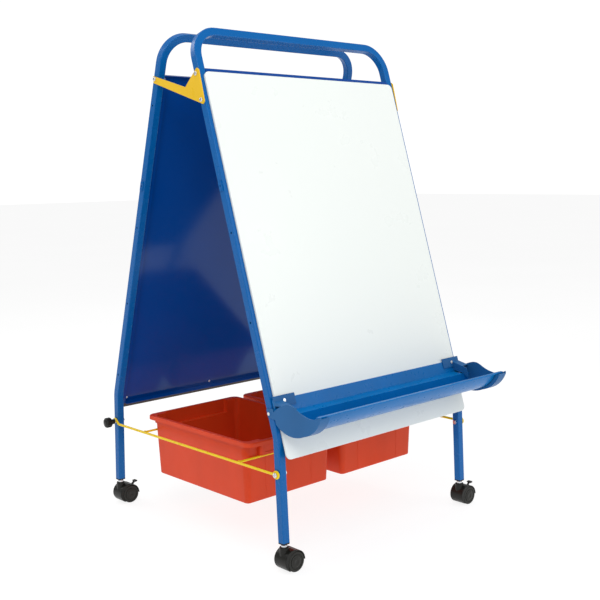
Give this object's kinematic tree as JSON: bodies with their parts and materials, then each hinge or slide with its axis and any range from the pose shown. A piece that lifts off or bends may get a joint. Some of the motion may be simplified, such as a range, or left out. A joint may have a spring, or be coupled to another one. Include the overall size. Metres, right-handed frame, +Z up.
{
  "type": "double-sided rolling classroom easel",
  "caption": "Folding double-sided children's easel with white boards, marker tray, wire rack with hanging tubs and braked swivel casters.",
  "frame": {"origin": "on the floor under the middle of the whole easel", "axes": "+Z up; the board with the tray faces -Y; +X to the right when facing that board"},
  "size_m": [0.7548, 0.8689, 1.2814],
  "materials": {
    "blue_frame_paint": "gloss powder coat",
    "pan_enamel": "gloss enamel",
    "board_surface": "smooth dry-wipe face, brown fibreboard back",
    "tray_plastic": "satin moulded",
    "end_cap_plastic": "satin moulded",
    "white_rivet": "painted",
    "yellow_bracket_paint": "gloss powder coat",
    "yellow_wire_coat": "gloss powder coat",
    "tub_plastic": "satin moulded",
    "knob_plastic": "satin",
    "plug_plastic": "matte",
    "caster_plastic": "satin moulded",
    "wheel_plastic": "satin moulded",
    "zinc_steel": "bright zinc plate"
  },
  "bodies": {
    "front": {"front_frame": "blue_frame_paint", "front_pan": "pan_enamel", "front_pan_rivets": "white_rivet", "front_board": "board_surface", "bracket_left": "yellow_bracket_paint", "bracket_right": "yellow_bracket_paint", "bracket_bolts": "zinc_steel", "bracket_nuts": "zinc_steel", "pivot_bolts": "zinc_steel", "pivot_nuts": "zinc_steel", "front_side_clips": "blue_frame_paint", "tray_gutter": "tray_plastic", "tray_end_cap_left": "end_cap_plastic", "tray_end_cap_right": "end_cap_plastic", "tray_screws": "zinc_steel", "rack_eye_bolts": "zinc_steel", "rack_eye_nuts": "zinc_steel", "leg_plug_front_left": "plug_plastic", "leg_plug_front_right": "plug_plastic"},
    "rear": {"rear_frame": "blue_frame_paint", "rear_pan": "pan_enamel", "rear_pan_rivets": "white_rivet", "rear_board": "board_surface", "rear_side_clips": "blue_frame_paint", "rack_studs": "zinc_steel", "leg_plug_rear_left": "plug_plastic", "leg_plug_rear_right": "plug_plastic"},
    "rack": {"rack_side_wire_left": "yellow_wire_coat", "rack_side_wire_right": "yellow_wire_coat", "rack_cross_wire_front": "yellow_wire_coat", "rack_cross_wire_rear": "yellow_wire_coat"},
    "tub_l": {"tub_left": "tub_plastic"},
    "tub_r": {"tub_right": "tub_plastic"},
    "washer_l": {"washer_left": "zinc_steel"},
    "washer_r": {"washer_right": "zinc_steel"},
    "knob_l": {"knob_left": "knob_plastic"},
    "knob_r": {"knob_right": "knob_plastic"},
    "caster_front_left": {"caster_stem_front_left": "zinc_steel", "caster_hood_front_left": "caster_plastic", "caster_axle_front_left": "zinc_steel"},
    "wheel_a_front_left_body": {"wheel_a_front_left": "wheel_plastic"},
    "wheel_b_front_left_body": {"wheel_b_front_left": "wheel_plastic"},
    "caster_front_right": {"caster_stem_front_right": "zinc_steel", "caster_hood_front_right": "caster_plastic", "caster_axle_front_right": "zinc_steel"},
    "wheel_a_front_right_body": {"wheel_a_front_right": "wheel_plastic"},
    "wheel_b_front_right_body": {"wheel_b_front_right": "wheel_plastic"},
    "lever_front_right": {"brake_lever_front_right": "caster_plastic"},
    "caster_rear_left": {"caster_stem_rear_left": "zinc_steel", "caster_hood_rear_left": "caster_plastic", "caster_axle_rear_left": "zinc_steel"},
    "wheel_a_rear_left_body": {"wheel_a_rear_left": "wheel_plastic"},
    "wheel_b_rear_left_body": {"wheel_b_rear_left": "wheel_plastic"},
    "lever_rear_left": {"brake_lever_rear_left": "caster_plastic"},
    "caster_rear_right": {"caster_stem_rear_right": "zinc_steel", "caster_hood_rear_right": "caster_plastic", "caster_axle_rear_right": "zinc_steel"},
    "wheel_a_rear_right_body": {"wheel_a_rear_right": "wheel_plastic"},
    "wheel_b_rear_right_body": {"wheel_b_rear_right": "wheel_plastic"}
  },
  "joints": [
    {"name": "rear_frame_fold", "type": "hinge", "parent": "front", "child": "rear", "pos_m": [0, 0.14802, 1.16652], "axis": [1, 0, 0], "range_deg": [-15, 0]},
    {"name": "rack_swing", "type": "hinge", "parent": "front", "child": "rack", "pos_m": [0, -0.28187, 0.238], "axis": [1, 0, 0], "range_deg": [0, 60]},
    {"name": "tub_left_lift", "type": "slide", "parent": "rack", "child": "tub_l", "axis": [0, 0, 1], "range_m": [0, 0.13]},
    {"name": "tub_right_lift", "type": "slide", "parent": "rack", "child": "tub_r", "axis": [0, 0, 1], "range_m": [0, 0.13]},
    {"name": "washer_left_slide", "type": "slide", "parent": "rear", "child": "washer_l", "axis": [-1, 0, 0], "range_m": [0, 0.004]},
    {"name": "knob_left_turn", "type": "hinge", "parent": "washer_l", "child": "knob_l", "pos_m": [-0.3459, 0.40721, 0.244], "axis": [-1, 0, 0], "range_deg": [0, 1440]},
    {"name": "washer_right_slide", "type": "slide", "parent": "rear", "child": "washer_r", "axis": [1, 0, 0], "range_m": [0, 0.004]},
    {"name": "knob_right_turn", "type": "hinge", "parent": "washer_r", "child": "knob_r", "pos_m": [0.3459, 0.40721, 0.244], "axis": [1, 0, 0], "range_deg": [0, 1440]},
    {"name": "caster_front_left_swivel", "type": "hinge", "parent": "front", "child": "caster_front_left", "pos_m": [-0.3295, -0.28907, 0.073], "axis": [0, 0, 1], "continuous": true},
    {"name": "wheel_a_front_left_roll", "type": "hinge", "parent": "caster_front_left", "child": "wheel_a_front_left_body", "pos_m": [-0.3095, -0.28907, 0.025], "axis": [0, 1, 0], "continuous": true},
    {"name": "wheel_b_front_left_roll", "type": "hinge", "parent": "caster_front_left", "child": "wheel_b_front_left_body", "pos_m": [-0.3095, -0.28907, 0.025], "axis": [0, 1, 0], "continuous": true},
    {"name": "caster_front_right_swivel", "type": "hinge", "parent": "front", "child": "caster_front_right", "pos_m": [0.3295, -0.28907, 0.073], "axis": [0, 0, 1], "continuous": true},
    {"name": "wheel_a_front_right_roll", "type": "hinge", "parent": "caster_front_right", "child": "wheel_a_front_right_body", "pos_m": [0.3495, -0.28907, 0.025], "axis": [0, 1, 0], "continuous": true},
    {"name": "wheel_b_front_right_roll", "type": "hinge", "parent": "caster_front_right", "child": "wheel_b_front_right_body", "pos_m": [0.3495, -0.28907, 0.025], "axis": [0, 1, 0], "continuous": true},
    {"name": "brake_front_right_press", "type": "hinge", "parent": "caster_front_right", "child": "lever_front_right", "pos_m": [0.363, -0.28907, 0.042], "axis": [0, 1, 0], "range_deg": [0, 12]},
    {"name": "caster_rear_left_swivel", "type": "hinge", "parent": "rear", "child": "caster_rear_left", "pos_m": [-0.3295, 0.41467, 0.073], "axis": [0, 0, 1], "continuous": true},
    {"name": "wheel_a_rear_left_roll", "type": "hinge", "parent": "caster_rear_left", "child": "wheel_a_rear_left_body", "pos_m": [-0.3095, 0.41467, 0.025], "axis": [0, 1, 0], "continuous": true},
    {"name": "wheel_b_rear_left_roll", "type": "hinge", "parent": "caster_rear_left", "child": "wheel_b_rear_left_body", "pos_m": [-0.3095, 0.41467, 0.025], "axis": [0, 1, 0], "continuous": true},
    {"name": "brake_rear_left_press", "type": "hinge", "parent": "caster_rear_left", "child": "lever_rear_left", "pos_m": [-0.296, 0.41467, 0.042], "axis": [0, 1, 0], "range_deg": [0, 12]},
    {"name": "caster_rear_right_swivel", "type": "hinge", "parent": "rear", "child": "caster_rear_right", "pos_m": [0.3295, 0.41467, 0.073], "axis": [0, 0, 1], "continuous": true},
    {"name": "wheel_a_rear_right_roll", "type": "hinge", "parent": "caster_rear_right", "child": "wheel_a_rear_right_body", "pos_m": [0.3495, 0.41467, 0.025], "axis": [0, 1, 0], "continuous": true},
    {"name": "wheel_b_rear_right_roll", "type": "hinge", "parent": "caster_rear_right", "child": "wheel_b_rear_right_body", "pos_m": [0.3495, 0.41467, 0.025], "axis": [0, 1, 0], "continuous": true}
  ],
  "couplings": [
    {"joint": "rack_swing", "follows": "rear_frame_fold", "ratio": -4},
    {"joint": "washer_left_slide", "follows": "knob_left_turn", "m_per_rad": 0.00015915},
    {"joint": "washer_right_slide", "follows": "knob_right_turn", "m_per_rad": 0.00015915}
  ]
}
